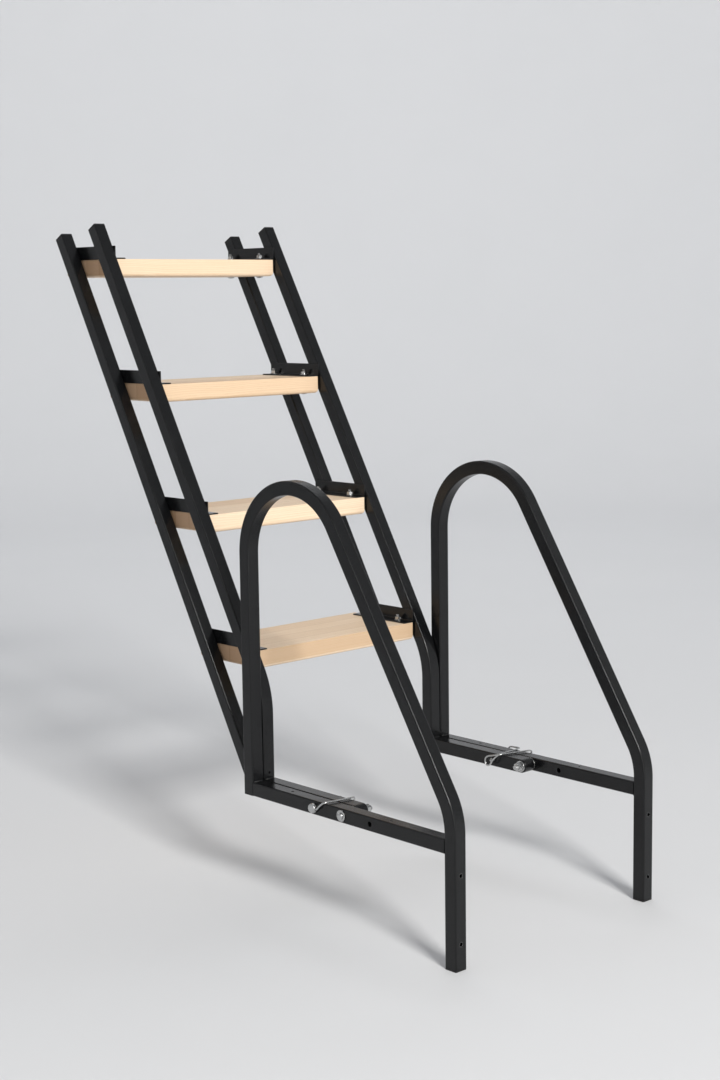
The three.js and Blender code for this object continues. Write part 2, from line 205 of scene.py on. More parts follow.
def moulded_plastic():
    """Black plastic end plugs with a fine moulded grain."""
    material = bpy.data.materials.new("moulded_plastic")
    n = Nodes(material)
    place = n.add("ShaderNodeTexCoord").outputs["Object"]
    grain = n.noise(place, 1400.0, 2.0)
    n.surface(
        Base_Color=n.blend(n.noise(place, 60.0), grey(0.010), grey(0.016)),
        Roughness=n.spread(grain, 0.3, 0.7, 0.42, 0.55),
        Specular_IOR_Level=0.4,
        Normal=n.bump(grain, 0.25, 0.0004),
    )
    return material


def zinc_plate():
    """Bright zinc: faint blotches of passivation, drawn streaks and small scuffs."""
    material = bpy.data.materials.new("zinc_plate")
    n = Nodes(material)
    place = n.add("ShaderNodeTexCoord").outputs["Object"]
    blotch = n.noise(place, 130.0, 4.0)
    scuffs = n.noise(n.stretched(place, 1.0, 6.0, 6.0), 300.0, 3.0)
    n.surface(
        Base_Color=n.blend(blotch, grey(0.42, (1.0, 0.99, 0.96)), grey(0.60, (0.97, 0.99, 1.0))),
        Metallic=1.0,
        Roughness=n.spread(scuffs, 0.3, 0.7, 0.16, 0.30),
        Normal=n.bump(scuffs, 0.12, 0.0004),
    )
    return material


def ash_wood(number):
    """Pale edge-glued ash: staves along the tread, growth rings, pores, and end faces darkened for end
    grain and painted shade.
    """
    material = bpy.data.materials.new(f"ash_wood_{number}")
    n = Nodes(material)
    place = n.add("ShaderNodeTexCoord").outputs["Object"]
    axes = n.add("ShaderNodeSeparateXYZ", {"Vector": place}).outputs
    stave_width = 0.049
    rings_per_metre = 310.0
    shift = 0.013 * number
    across = n.math("DIVIDE", n.math("ADD", axes["Y"], shift), stave_width)
    stave = n.math("ADD", n.math("FLOOR", across), 17.0 * number)
    chance = n.add("ShaderNodeTexWhiteNoise", {"W": stave}, noise_dimensions="1D").outputs
    chances = n.add("ShaderNodeSeparateColor", {"Color": chance["Color"]}).outputs

    wander = n.noise(n.stretched(place, 1.6, 9.0, 9.0), 1.0, 3.0)
    wander_too = n.noise(n.stretched(place, 2.3, 7.0, 7.0), 1.0, 2.0)
    middle_y = n.math("MULTIPLY", n.math("ADD", n.math("FLOOR", across), 0.5), stave_width)
    from_y = n.math("SUBTRACT", n.math("ADD", axes["Y"], shift), middle_y)
    off_y = n.math("ADD", from_y, n.spread(chances[0], 0.0, 1.0, -0.055, 0.055))
    off_y = n.math("ADD", off_y, n.spread(wander, 0.3, 0.7, -0.007, 0.007))
    off_z = n.math("ADD", axes["Z"], n.spread(chances[1], 0.0, 1.0, 0.03, 0.10))
    off_z = n.math("SUBTRACT", off_z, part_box(f"tread_{number}")[1].z)
    off_z = n.math("ADD", off_z, n.spread(wander_too, 0.3, 0.7, -0.009, 0.009))
    square_y = n.math("MULTIPLY", off_y, off_y)
    square_z = n.math("MULTIPLY", off_z, off_z)
    radius = n.math("SQRT", n.math("ADD", square_y, square_z))
    ring = n.math("FRACT", n.math("MULTIPLY", radius, rings_per_metre))
    late = n.spread(n.math("POWER", ring, 2.4), 0.0, 1.0, 0.0, 1.0)

    streaks = n.noise(n.stretched(place, 5.0, 420.0, 420.0), 1.0, 3.0)
    pores = n.spread(n.noise(n.stretched(place, 55.0, 1500.0, 1500.0), 1.0, 2.0), 0.58, 0.72, 0.0, 1.0)
    pale = n.blend(chances[2], (0.74, 0.560, 0.385, 1.0), (0.90, 0.740, 0.565, 1.0))
    deep = n.blend(chances[2], (0.57, 0.385, 0.225, 1.0), (0.74, 0.545, 0.355, 1.0))
    colour = n.blend(n.math("MULTIPLY", late, 0.62), pale, deep)
    colour = n.blend(n.spread(streaks, 0.35, 0.65, 0.0, 0.30), colour, (0.66, 0.45, 0.27, 1.0))
    colour = n.blend(n.math("MULTIPLY", pores, 0.22), colour, (0.42, 0.26, 0.14, 1.0))

    seam = n.math("ABSOLUTE", n.math("SUBTRACT", n.math("FRACT", across), 0.5))
    glue = n.spread(seam, 0.484, 0.494, 0.0, 0.75)
    colour = n.blend(glue, colour, (0.45, 0.29, 0.16, 1.0))

    # End faces, whose normals run along X, are darkened: real end grain, plus painted shade as deep as
    # an end seen in shade.
    normal = n.add("ShaderNodeSeparateXYZ", {"Vector": n.add("ShaderNodeNewGeometry").outputs["Normal"]})
    end_grain_and_shade = n.spread(n.math("ABSOLUTE", normal.outputs["X"]), 0.6, 0.9, 0.0, 0.62)
    colour = n.blend(end_grain_and_shade, colour, (0.42, 0.25, 0.13, 1.0), "MULTIPLY")
    relief = n.math("SUBTRACT", n.math("MULTIPLY", streaks, 0.6), n.math("MULTIPLY", pores, 0.8))
    n.surface(
        Base_Color=colour,
        Roughness=n.spread(streaks, 0.3, 0.7, 0.42, 0.56),
        Specular_IOR_Level=0.35,
        Normal=n.bump(relief, 0.18, 0.0004),
    )
    return material


COAT = powder_coat()
PLASTIC = moulded_plastic()
ZINC = zinc_plate()


# ---- mesh helpers --------------------------------------------------------------------------
def mesh_from(name, points, faces):
    mesh = bpy.data.meshes.new(name)
    mesh.from_pydata([tuple(p) for p in points], [], faces)
    shell = bmesh.new()
    shell.from_mesh(mesh)
    bmesh.ops.remove_doubles(shell, verts=shell.verts, dist=1e-6)
    bmesh.ops.recalc_face_normals(shell, faces=shell.faces)
    shell.to_mesh(mesh)
    shell.free()
    return mesh


def joined(name, *meshes):
    shell = bmesh.new()
    for mesh in meshes:
        shell.from_mesh(mesh)
    mesh = bpy.data.meshes.new(name)
    shell.to_mesh(mesh)
    shell.free()
    return mesh


def moved(mesh, matrix):
    copy = mesh.copy()
    copy.transform(matrix)
    if matrix.determinant() < 0:
        copy.flip_normals()
    return copy


def cut(mesh, cutters, operation="DIFFERENCE"):
    """The mesh with each cutter taken away from it, or with only what they share."""
    scene = bpy.context.scene
    body = bpy.data.objects.new("blank", mesh)
    tool = bpy.data.objects.new("cutter", joined("cutter", *cutters))
    for piece in (body, tool):
        scene.collection.objects.link(piece)
    boolean = body.modifiers.new("cut", "BOOLEAN")
    boolean.operation = operation
    boolean.solver = "EXACT"
    boolean.object = tool
    bpy.context.view_layer.update()
    depsgraph = bpy.context.evaluated_depsgraph_get()
    result = bpy.data.meshes.new_from_object(body.evaluated_get(depsgraph))
    for piece in (body, tool):
        bpy.data.objects.remove(piece)
    return result


def show(name, mesh, material, body, nodes, edge=0.0):
    """Puts a piece on its body with soft edges and even shading, in place of its CAD nodes."""
    mesh.name = name
    mesh.materials.clear()
    mesh.materials.append(material)
    for face in mesh.polygons:
        face.use_smooth = True
        face.material_index = 0
    mesh.set_sharp_from_angle(angle=CREASE)
    piece = bpy.data.objects.new(name, mesh)
    bpy.context.scene.collection.objects.link(piece)
    if edge:
        bevel = piece.modifiers.new("edge", "BEVEL")
        bevel.width = edge
        bevel.segments = 2
        bevel.limit_method = "ANGLE"
        bevel.angle_limit = CREASE
    weighted = piece.modifiers.new("shading", "WEIGHTED_NORMAL")
    weighted.keep_sharp = not edge
    weighted.weight = 80
    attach(piece, body)
    if nodes:
        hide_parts(*nodes)
    return piece


def rounded_square(size, radius, segments=5):
    inner = size / 2 - radius
    centres = ((inner, -inner), (inner, inner), (-inner, inner), (-inner, -inner))
    points = []
    for quarter, (u, v) in enumerate(centres):
        for k in range(segments + 1):
            angle = math.radians(90 * (quarter - 1) + 90 * k / segments)
            points.append((u + radius * math.cos(angle), v + radius * math.sin(angle)))
    return points


def bent_stations(corners, radii, step=math.radians(2.5)):
    """Points and directions along a line in a YZ plane whose corners are rounded."""
    stations = [(corners[0], (corners[1] - corners[0]).normalized())]
    for before, corner, after, radius in zip(corners, corners[1:], corners[2:], radii):
        incoming = (corner - before).normalized()
        outgoing = (after - corner).normalized()
        turn = incoming.angle(outgoing)
        axis = incoming.cross(outgoing).normalized()
        start = corner - incoming * radius * math.tan(turn / 2)
        centre = start + axis.cross(incoming) * radius
        count = math.ceil(turn / step)
        for k in range(count + 1):
            rotation = Matrix.Rotation(turn * k / count, 3, axis)
            stations.append((centre + rotation @ (start - centre), rotation @ incoming))
    stations.append((corners[-1], (corners[-1] - corners[-2]).normalized()))
    return stations


def ring_at(station, outline):
    point, along = station
    across = along.cross(X_AXIS)
    return [point + X_AXIS * u + across * v for u, v in outline]


def swept_tube(name, stations):
    """A hollow square tube, open at both ends, through the stations."""
    outer = rounded_square(TUBE, CORNER)
    inner = rounded_square(TUBE - 2 * WALL, CORNER - 0.6 * WALL)
    count = len(outer)
    points = []
    faces = []
    for station in stations:
        points += ring_at(station, outer) + ring_at(station, inner)
    for s in range(len(stations) - 1):
        for skin in (0, count):
            for k in range(count):
                a = 2 * count * s + skin + k
                b = 2 * count * s + skin + (k + 1) % count
                faces.append((a, b, b + 2 * count, a + 2 * count))
    for start in (0, 2 * count * (len(stations) - 1)):
        for k in range(count):
            following = (k + 1) % count
            faces.append((start + k, start + following, start + count + following, start + count + k))
    return mesh_from(name, points, faces)


def prism(name, outline, low, high):
    """A closed outline in the XY plane, drawn out along Z."""
    count = len(outline)
    points = [(u, v, low) for u, v in outline] + [(u, v, high) for u, v in outline]
    faces = [tuple(range(count)), tuple(range(count, 2 * count))]
    faces += [(k, (k + 1) % count, count + (k + 1) % count, count + k) for k in range(count)]
    return mesh_from(name, points, faces)


def revolved(name, profile, segments=40):
    """A profile of (radius, height) pairs turned about Z. Pairs of radius 0 lie on the axis."""
    points = []
    for radius, height in profile:
        for k in range(segments):
            angle = 2 * math.pi * k / segments
            points.append((radius * math.cos(angle), radius * math.sin(angle), height))
    faces = []
    for row in range(len(profile) - 1):
        for k in range(segments):
            following = (k + 1) % segments
            one, two = row * segments, (row + 1) * segments
            faces.append((one + k, one + following, two + following, two + k))
    return mesh_from(name, points, faces)


def round_bar(axis, diameter, length, centre, segments=40):
    """A closed cylinder along an axis, for cutting holes."""
    outline = [(diameter / 2 * math.cos(a), diameter / 2 * math.sin(a))
               for a in (2 * math.pi * k / segments for k in range(segments))]
    bar = prism("bar", outline, -length / 2, length / 2)
    turn = {
        "x": Matrix.Rotation(math.pi / 2, 4, "Y"),
        "y": Matrix.Rotation(math.pi / 2, 4, "X"),
        "z": Matrix.Identity(4),
    }[axis]
    bar.transform(Matrix.Translation(centre) @ turn)
    return bar


def wire(name, route, radius, segments=12):
    """A round wire through the points of a route, bent smoothly between them."""
    path = smooth_route(route)
    points = []
    faces = []
    starts_along_x = abs((path[1] - path[0]).normalized().x) > 0.9
    across = Vector((0, 0, 1)) if starts_along_x else X_AXIS
    for k, point in enumerate(path):
        along = (path[min(k + 1, len(path) - 1)] - path[max(k - 1, 0)]).normalized()
        across = (across - along * across.dot(along)).normalized()
        third = along.cross(across)
        for s in range(segments):
            angle = 2 * math.pi * s / segments
            spoke = across * math.cos(angle) + third * math.sin(angle)
            points.append(point + spoke * radius(k / len(path)))
    for k in range(len(path) - 1):
        for s in range(segments):
            a, b = k * segments + s, k * segments + (s + 1) % segments
            faces.append((a, b, b + segments, a + segments))
    last = (len(path) - 1) * segments
    faces.append(tuple(range(segments)))
    faces.append(tuple(range(last, last + segments)))
    return mesh_from(name, points, faces)


def smooth_route(route, per_span=8):
    """Catmull-Rom points through a route."""
    padded = [2 * route[0] - route[1], *route, 2 * route[-1] - route[-2]]
    path = []
    for a, b, c, d in zip(padded, padded[1:], padded[2:], padded[3:]):
        for k in range(per_span):
            t = k / per_span
            path.append(0.5 * (2 * b + (c - a) * t + (2 * a - 5 * b + 4 * c - d) * t * t
                               + (3 * b - a - 3 * c + d) * t * t * t))
    path.append(route[-1])
    return path


# ---- camera --------------------------------------------------------------------------------
def add_camera():
    yaw, pitch, roll = (math.radians(a) for a in (-42.76, -7.73, 0.77))
    ahead = Vector((-math.sin(yaw) * math.cos(pitch), math.cos(yaw) * math.cos(pitch), math.sin(pitch)))
    level = Vector((math.cos(yaw), math.sin(yaw), 0))
    plumb = ahead.cross(level)
    right = level * math.cos(roll) + plumb * math.sin(roll)
    down = plumb * math.cos(roll) - level * math.sin(roll)
    camera = bpy.data.objects.new("camera", bpy.data.cameras.new("camera"))
    camera.data.sensor_width = 36
    camera.data.lens = 59.91
    camera.data.clip_end = 100
    turned = Matrix((right, -down, -ahead)).transposed().to_4x4()
    camera.matrix_world = Matrix.Translation(at(-OUTER_X - 2.35587, -2.61424, 1.05387)) @ turned
    bpy.context.scene.collection.objects.link(camera)
    bpy.context.scene.camera = camera


# ---- handrail frames -----------------------------------------------------------------------
def handrail_stations(x):
    slope = math.tan(RAIL_LEAN)
    crown = KNEE_HEIGHT + (HEEL_Y - LEG_Y) / slope
    corners = [at(x, HEEL_Y, 0), at(x, HEEL_Y, crown), at(x, LEG_Y, KNEE_HEIGHT),
               at(x, LEG_Y, PLUG_LIP + WELD_GAP - LEG_DROP)]
    return bent_stations(corners, [CROWN_RADIUS, KNEE_RADIUS])


def add_frame(side, sign):
    x = sign * FRAME_X
    holes = [round_bar("y", LEG_HOLE_DIAMETER, 2 * TUBE, at(x, LEG_Y, -drop)) for drop in LEG_HOLE_DROPS]
    tube = cut(swept_tube("handrail", handrail_stations(x)), holes)
    show(f"{side}_handrail_skin", tube, COAT, "handrails",
         [f"{side}_handrail_tube"], 0.5 * MM)

    # Bright zinc rings at the holes: bare drilled edges, and painted highlights for the lit rims.
    for number, drop in enumerate(LEG_HOLE_DROPS, 1):
        add_hole_glint_rim(f"{side}_leg_hole_glint_rim_{number}", "y", LEG_HOLE_DIAMETER,
                     at(x, -LEG_REACH, -drop), Vector((0, 1, 0)))
    add_hole_glint_rim(f"{side}_deck_hole_glint_rim", "z", DECK_HOLE_DIAMETER,
                 at(x, DECK_HOLE_REACHES[1], TUBE), Vector((0, 0, -1)))

    ends = (at(x, LEG_Y + HALF + WELD_GAP, HALF), at(x, HEEL_Y - HALF - WELD_GAP, HALF))
    rail = swept_tube("rail", straight(*ends))
    bores = [round_bar("x", PIVOT_DIAMETER + HOLE_CLEARANCE, 2 * TUBE, at(x, 0, HALF))]
    bores += [round_bar("x", PIN_DIAMETER + HOLE_CLEARANCE, 2 * TUBE, at(x, reach, HALF))
              for reach in (PIN_REACH, -PIN_REACH)]
    bores += [round_bar("z", DECK_HOLE_DIAMETER, 2 * TUBE, at(x, reach, HALF))
              for reach in DECK_HOLE_REACHES]
    show(f"{side}_rail_skin", cut(rail, bores), COAT, "handrails",
         [f"{side}_base_rail"], 0.5 * MM)

    add_plug(f"{side}_leg_plug", at(x, LEG_Y, -LEG_DROP), Vector((0, 0, -1)), "handrails")
    welds = (
        ("leg_top", LEG_Y + HALF, TUBE, WELD_RADIUS),
        ("leg_under", LEG_Y + HALF, 0, BIG_WELD_RADIUS),
        ("heel_top", HEEL_Y - HALF, TUBE, WELD_RADIUS),
    )
    for name, y, z, size in welds:
        add_weld(f"{side}_{name}_weld", at(x, y, z), "handrails", size)


def add_hole_glint_rim(name, axis, diameter, centre, into):
    """A bright bare-metal ring in a tube's wall at a drilled hole: a bare drilled edge, and a painted
    highlight for the rim that catches the light.
    """
    inset, depth = 0.25 * MM, 1.9 * MM
    sleeve = round_bar(axis, diameter, depth, Vector())
    rim = cut(sleeve, [round_bar(axis, diameter - 0.5 * MM, 2 * depth, Vector())])
    rim.transform(Matrix.Translation(centre + into * (inset + depth / 2)))
    show(name, rim, ZINC, "handrails", [])


def straight(start, end):
    along = (end - start).normalized()
    return [(start, along), (end, along)]


def add_weld(name, centre, body, size=WELD_RADIUS):
    """A rippled fillet bead across a tube, where two tubes meet."""
    width = TUBE - 2 * CORNER
    route = [centre + X_AXIS * width * (k / 4 - 0.5) for k in range(5)]
    ripple = 14

    def radius(share):
        taper = min(1.0, 6 * share + 0.35, 6 * (1 - share) + 0.35)
        return size * (1 + 0.13 * math.cos(2 * math.pi * ripple * share)) * taper

    bead = wire(name, route, radius, 14)
    show(name, bead, COAT, body, [])


def add_plug(node, tip, outward, body):
    """A moulded end plug: a lip with a soft edge over a ribbed shank."""
    outline = rounded_square(TUBE, CORNER)
    lip = prism("lip", outline, -PLUG_LIP, 0)
    shank_size = TUBE - 2 * WALL - 0.6 * MM
    shank = prism("shank", rounded_square(shank_size, 1 * MM), -13.5 * MM, -1 * MM)
    ribs = [prism("rib", rounded_square(shank_size + 0.4 * MM, 1 * MM), -z * MM, -(z - 1) * MM)
            for z in (6, 9, 12)]
    turn = Vector((0, 0, 1)).rotation_difference(outward).to_matrix().to_4x4()
    plug = joined(node, lip, shank, *ribs)
    plug.transform(Matrix.Translation(tip) @ turn)
    show(f"{node}_cap", plug, PLASTIC, body, [node], 0.6 * MM)


# ---- ladder --------------------------------------------------------------------------------
def add_foot(side, sign):
    """The foot's tube, with its front end closed by a round nose about the pivot."""
    x = sign * FOOT_X
    outside = prism("foot", foot_outline(HALF, HEEL_REACH), -HALF, HALF)
    inside = prism("hollow", foot_outline(HALF - WALL, HEEL_REACH + TUBE, 0.0), WALL - HALF, HALF - WALL)
    upright = Matrix(((0, 0, 1, x), (1, 0, 0, PIVOT_Y), (0, 1, 0, DECK_Z + HALF), (0, 0, 0, 1)))
    rounding = 2.2 * MM
    blank = softened(outside, rounding)
    blank.transform(upright)
    inside.transform(upright)
    bores = [round_bar("x", PIVOT_DIAMETER + HOLE_CLEARANCE, 2 * TUBE, at(x, 0, HALF)),
             round_bar("x", PIN_DIAMETER + HOLE_CLEARANCE, 2 * TUBE, at(x, PIN_REACH, HALF))]
    foot = cut(cut(blank, [inside]), bores)
    show(f"{side}_foot_skin", foot, COAT, "ladder", [f"{side}_ladder_foot"], 0.4 * MM)
    add_weld(f"{side}_stringer_weld", at(x, HEEL_Y - HALF, TUBE), "ladder")


def foot_outline(half, reach, nose=1.0):
    """The foot seen from its side: y along, z across, with a full round nose at y = 0."""
    outline = [(reach, -half), (reach, half), (0, half)]
    if nose:
        outline += [(-half * math.sin(a), half * math.cos(a))
                    for a in (math.pi * k / 32 for k in range(1, 32))]
    return outline + [(0, -half)]


def softened(mesh, width):
    """The mesh with every sharp edge rounded."""
    shell = bmesh.new()
    shell.from_mesh(mesh)
    sharp = [e for e in shell.edges if len(e.link_faces) == 2 and e.calc_face_angle() > CREASE]
    bmesh.ops.bevel(shell, geom=sharp, offset=width, segments=4, profile=0.5, affect="EDGES",
                    clamp_overlap=True)
    result = bpy.data.meshes.new("softened")
    shell.to_mesh(result)
    shell.free()
    return result


def add_stringers(side, sign):
    x = sign * FOOT_X
    bend = at(x, HEEL_Y, STRINGER_BEND)
    room = PLUG_LIP + WELD_GAP
    front_tip = bend + SLOPE_UP * STRINGER_LENGTH
    corners = [at(x, HEEL_Y, TUBE + WELD_GAP), bend, front_tip - SLOPE_UP * room]
    front = swept_tube("front", bent_stations(corners, [STRINGER_BEND_RADIUS]))
    drain = round_bar("y", DRAIN_DIAMETER, TUBE, at(x, HEEL_Y - HALF, DRAIN_HEIGHT))
    show(f"{side}_front_stringer_skin", cut(front, [drain]), COAT, "ladder",
         [f"{side}_front_stringer"], 0.5 * MM)
    add_plug(f"{side}_front_stringer_plug", front_tip, SLOPE_UP, "ladder")

    rear_tip = front_tip + SLOPE_BACK * STRINGER_PITCH + SLOPE_UP * REAR_EXTRA
    rear_start = rear_tip - SLOPE_UP * 2 * STRINGER_LENGTH
    rear = swept_tube("rear", straight(rear_start, rear_tip - SLOPE_UP * room))
    low = at(x - TUBE, HEEL_REACH + WELD_GAP, 0)
    reach = 2.0
    keep = box_mesh(low, low + Vector((2 * TUBE, reach, reach)))
    show(f"{side}_rear_stringer_skin", cut(rear, [keep], "INTERSECT"), COAT, "ladder",
         [f"{side}_rear_stringer"], 0.5 * MM)
    add_plug(f"{side}_rear_stringer_plug", rear_tip, SLOPE_UP, "ladder")
    front_face = rear_tip - SLOPE_BACK * HALF
    climb = (PIVOT_Y + HEEL_REACH - front_face.y) / SLOPE_UP.y
    join = front_face + SLOPE_UP * climb
    add_weld(f"{side}_rear_joint_weld", join, "ladder")


def box_mesh(low, high):
    size = high - low
    outline = [(0, 0), (size.x, 0), (size.x, size.y), (0, size.y)]
    box = prism("box", outline, 0, size.z)
    box.transform(Matrix.Translation(low))
    return box


def bolt_places(number, sign):
    low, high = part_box(f"tread_{number}")
    x = sign * (STRINGER_INNER - WELD_GAP - ANGLE_THICKNESS - BOLT_INSET)
    return [Vector((x, low.y + setback, high.z)) for setback in BOLT_SETBACKS]


def add_tread(number):
    low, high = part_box(f"tread_{number}")
    shell = bmesh.new()
    shell.from_mesh(box_mesh(low, high))
    under = [e for e in shell.edges if all(abs(v.co.z - low.z) < 1e-5 for v in e.verts)]
    bmesh.ops.bevel(shell, geom=under, offset=TREAD_ROUND, segments=8, profile=0.5, affect="EDGES")
    mesh = bpy.data.meshes.new("tread")
    shell.to_mesh(mesh)
    shell.free()
    places = bolt_places(number, -1) + bolt_places(number, 1)
    bores = [round_bar("z", BOLT_DIAMETER + HOLE_CLEARANCE, 0.12, place, 24) for place in places]
    show(f"tread_{number}_board", cut(mesh, bores), ash_wood(number), "ladder",
         [f"tread_{number}"], 0.9 * MM)


def bracket_outline(leg=30 * MM, thickness=ANGLE_THICKNESS, root=2.5 * MM, toe=1.2 * MM):
    """An angle section: square outer corner, filleted root and rounded toes."""
    outline = [(0, 0), (leg, 0)]
    for k in range(5):
        a = math.radians(90 * k / 4)
        outline.append((leg - toe + toe * math.cos(a), thickness - toe + toe * math.sin(a)))
    for k in range(6):
        a = math.radians(90 * k / 5)
        outline.append((thickness + root - root * math.sin(a), thickness + root - root * math.cos(a)))
    for k in range(5):
        a = math.radians(90 * k / 4)
        outline.append((thickness - toe + toe * math.cos(a), leg - toe + toe * math.sin(a)))
    outline.append((0, leg))
    return outline


def add_bracket(side, sign, number):
    node = f"{side}_tread_bracket_{number}"
    low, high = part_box(node)
    section = prism(node, bracket_outline(), 0, high.y - low.y)
    corner_x = high.x if sign > 0 else low.x
    turn = Matrix(((-sign, 0, 0, corner_x), (0, 0, 1, low.y), (0, 1, 0, low.z), (0, 0, 0, 1)))
    angle = moved(section, turn)
    bores = [round_bar("z", BOLT_DIAMETER + HOLE_CLEARANCE, TUBE, place, 24)
             for place in bolt_places(number, sign)]
    show(f"{node}_skin", cut(angle, bores), COAT, "ladder", [node], 0.4 * MM)


# ---- hardware ------------------------------------------------------------------------------
def thread_profile(radius, start, end, pitch=1.25 * MM):
    """Ridges of a screw thread between two heights."""
    depth = 0.55 * pitch
    turns = int(abs(end - start) / pitch)
    step = (end - start) / turns
    profile = []
    for k in range(turns):
        profile.append((radius - depth, start + step * k))
        profile.append((radius, start + step * (k + 0.5)))
    return profile


def hex_nut(across_flats, height, bore):
    """A nut with turned chamfers at both ends, standing on z = 0."""
    corner = across_flats / math.sqrt(3)
    outline = [(corner * math.cos(math.radians(60 * k)), corner * math.sin(math.radians(60 * k)))
               for k in range(6)]
    blank = prism("nut", outline, 0, height)
    slope = corner - across_flats / 2
    turned = revolved("chamfer", [
        (0, 0), (across_flats / 2 - 0.2 * MM, 0), (corner, 0.6 * slope), (corner, height - 0.6 * slope),
        (across_flats / 2 - 0.2 * MM, height), (0, height),
    ])
    return cut(cut(blank, [turned], "INTERSECT"), [round_bar("z", bore, 3 * height, Vector())])


def washer(inner, outer, thickness):
    soft = 0.3 * MM
    return revolved("washer", [
        (inner, 0), (outer - soft, 0), (outer, soft), (outer, thickness - soft),
        (outer - soft, thickness), (inner, thickness), (inner, 0),
    ])


def domed(radius, height, base, steps=7):
    """Profile of a dome from its rim at a height to its top on the axis."""
    return [(radius * math.cos(a), base + height * math.sin(a))
            for a in (math.pi / 2 * k / steps for k in range(steps + 1))]


def tread_bolt_mesh():
    """Coach bolt with its washer and nut: z = 0 is the top of the tread."""
    shank = BOLT_DIAMETER / 2
    low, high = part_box("left_tread_bolt_1_front")
    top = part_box("tread_1")[1].z
    tip = high.z - top
    head = low.z - top
    seat = ANGLE_THICKNESS + 2 * WELD_GAP
    dome = [(r, -z) for r, z in domed(9 * MM, 3.4 * MM, -head - 4 * MM)]
    profile = dome[::-1] + [(9 * MM, head + 4 * MM), (shank, head + 4 * MM), (shank, seat)]
    profile += thread_profile(shank, seat, tip - 0.6 * MM) + [(shank - 0.8 * MM, tip), (0, tip)]
    bolt = revolved("bolt", profile, 28)
    ring = moved(washer(shank + 0.1 * MM, 8.5 * MM, TREAD_WASHER_THICKNESS),
                 Matrix.Translation((0, 0, seat)))
    nut = moved(hex_nut(TREAD_NUT_FLATS, TREAD_NUT_HEIGHT, 2 * shank - 0.3 * MM),
                Matrix.Translation((0, 0, seat + TREAD_WASHER_THICKNESS)))
    return joined("tread_bolt", bolt, ring, nut)


def add_tread_bolts(mesh, side, sign, number):
    for place, end in zip(bolt_places(number, sign), ("front", "rear")):
        node = f"{side}_tread_bolt_{number}_{end}"
        turn = Matrix.Rotation(math.radians(37 * number + 19 * sign), 4, "Z")
        bolt = moved(mesh, Matrix.Translation(place) @ turn)
        show(f"{node}_fine", bolt, ZINC, "ladder", [node])


def outward(sign, inward, y, z):
    """Places a piece whose +Z runs out of the frame's side, at a distance in from its outer face."""
    turn = Matrix.Rotation(sign * math.pi / 2, 4, "Y")
    return Matrix.Translation(at(sign * (OUTER_X - inward), y, z)) @ turn


def add_pivot(side, sign):
    bore = (PIVOT_DIAMETER + HOLE_CLEARANCE) / 2
    thick = PIVOT_WASHER_THICKNESS
    foot_inner = 2 * TUBE + SIDE_GAP
    rings = (("pivot_washer", 12 * MM, thick, -WELD_GAP),
             ("pivot_spacer", 14 * MM, SIDE_GAP - 2 * WELD_GAP, TUBE + SIDE_GAP - WELD_GAP),
             ("nut_washer", 12.5 * MM, thick, foot_inner + WELD_GAP + thick))
    for name, outer, thickness, inward in rings:
        ring = moved(washer(bore, outer, thickness), outward(sign, inward, 0, HALF))
        show(f"{side}_{name}_fine", ring, ZINC, "handrails", [f"{side}_{name}"])

    nut_start = foot_inner + thick + 2 * WELD_GAP
    nut_end = nut_start + PIVOT_NUT_HEIGHT
    nut = moved(hex_nut(PIVOT_NUT_FLATS, PIVOT_NUT_HEIGHT, PIVOT_DIAMETER + 0.1 * MM),
                outward(sign, nut_end, 0, HALF))
    show(f"{side}_pivot_nut_fine", nut, ZINC, "handrails", [f"{side}_pivot_nut"])

    shank = PIVOT_DIAMETER / 2
    seat = thick + 2 * WELD_GAP
    tail = nut_end + PIVOT_TAIL
    profile = [(0, -tail), (shank - 1 * MM, -tail)]
    profile += thread_profile(shank, 1 * MM - tail, -foot_inner, 1.75 * MM)
    profile += [(shank, -foot_inner), (shank, seat), (7 * MM, seat), (7 * MM, seat + 1.5 * MM)]
    profile += domed(7 * MM, 3.5 * MM, seat + 1.5 * MM)[1:]
    bolt = moved(revolved("pivot_bolt", profile), outward(sign, 0, 0, HALF))
    show(f"{side}_pivot_bolt_fine", bolt, ZINC, "handrails", [f"{side}_pivot_bolt"])


OVER = 33                       # bail centre line above the rails' underside, in millimetres
# Bail centre lines in millimetres: in from the frame's outer face, then +Y and +Z. Each starts
# inside the cross hole of its pin's head, which runs along Y, the line that the bail swings about.
# The left wire ends in a hook round the pin's tip. The right one goes round it and back to the head.
BAIL_ROUTES = {
    "left": [
        (-5.6, 86, 15), (-5.6, 78, 15), (-5.6, 72.4, 15), (-5.8, 68, 16), (-6, 62, 22), (-4, 53, 30),
        (1, 46, OVER), (30, 41, OVER), (62, 36, OVER), (70, 37, 31), (75, 44, 24), (76.5, 60, 14),
        (76.5, 78, 8), (76.5, 88, 7.5), (76, 93, 14), (75.5, 90, 21), (75, 83, 23),
    ],
    "right": [
        (-5.6, 85, 15), (-5.6, 90, 15), (-5.6, 96.5, 15), (-5.6, 99, 18), (-5.4, 99, 24), (-5, 92, 31),
        (-4, 76, OVER), (-3, 64, OVER), (30, 60, OVER), (60, 59, OVER), (71, 64, 28), (75, 72, 19),
        (76, 80, 7), (76, 88, 4), (76, 94, 10), (76, 93, 20), (76, 84, 26), (75, 72, 29),
        (70, 60, 32), (64, 54, OVER), (25, 43, OVER), (-4, 32, OVER), (-9, 32, 27), (-9, 44, 17),
        (-7, 58, 14.5), (-5.6, 68, 15), (-5.6, 74, 15), (-5.6, 81, 15),
    ],
}


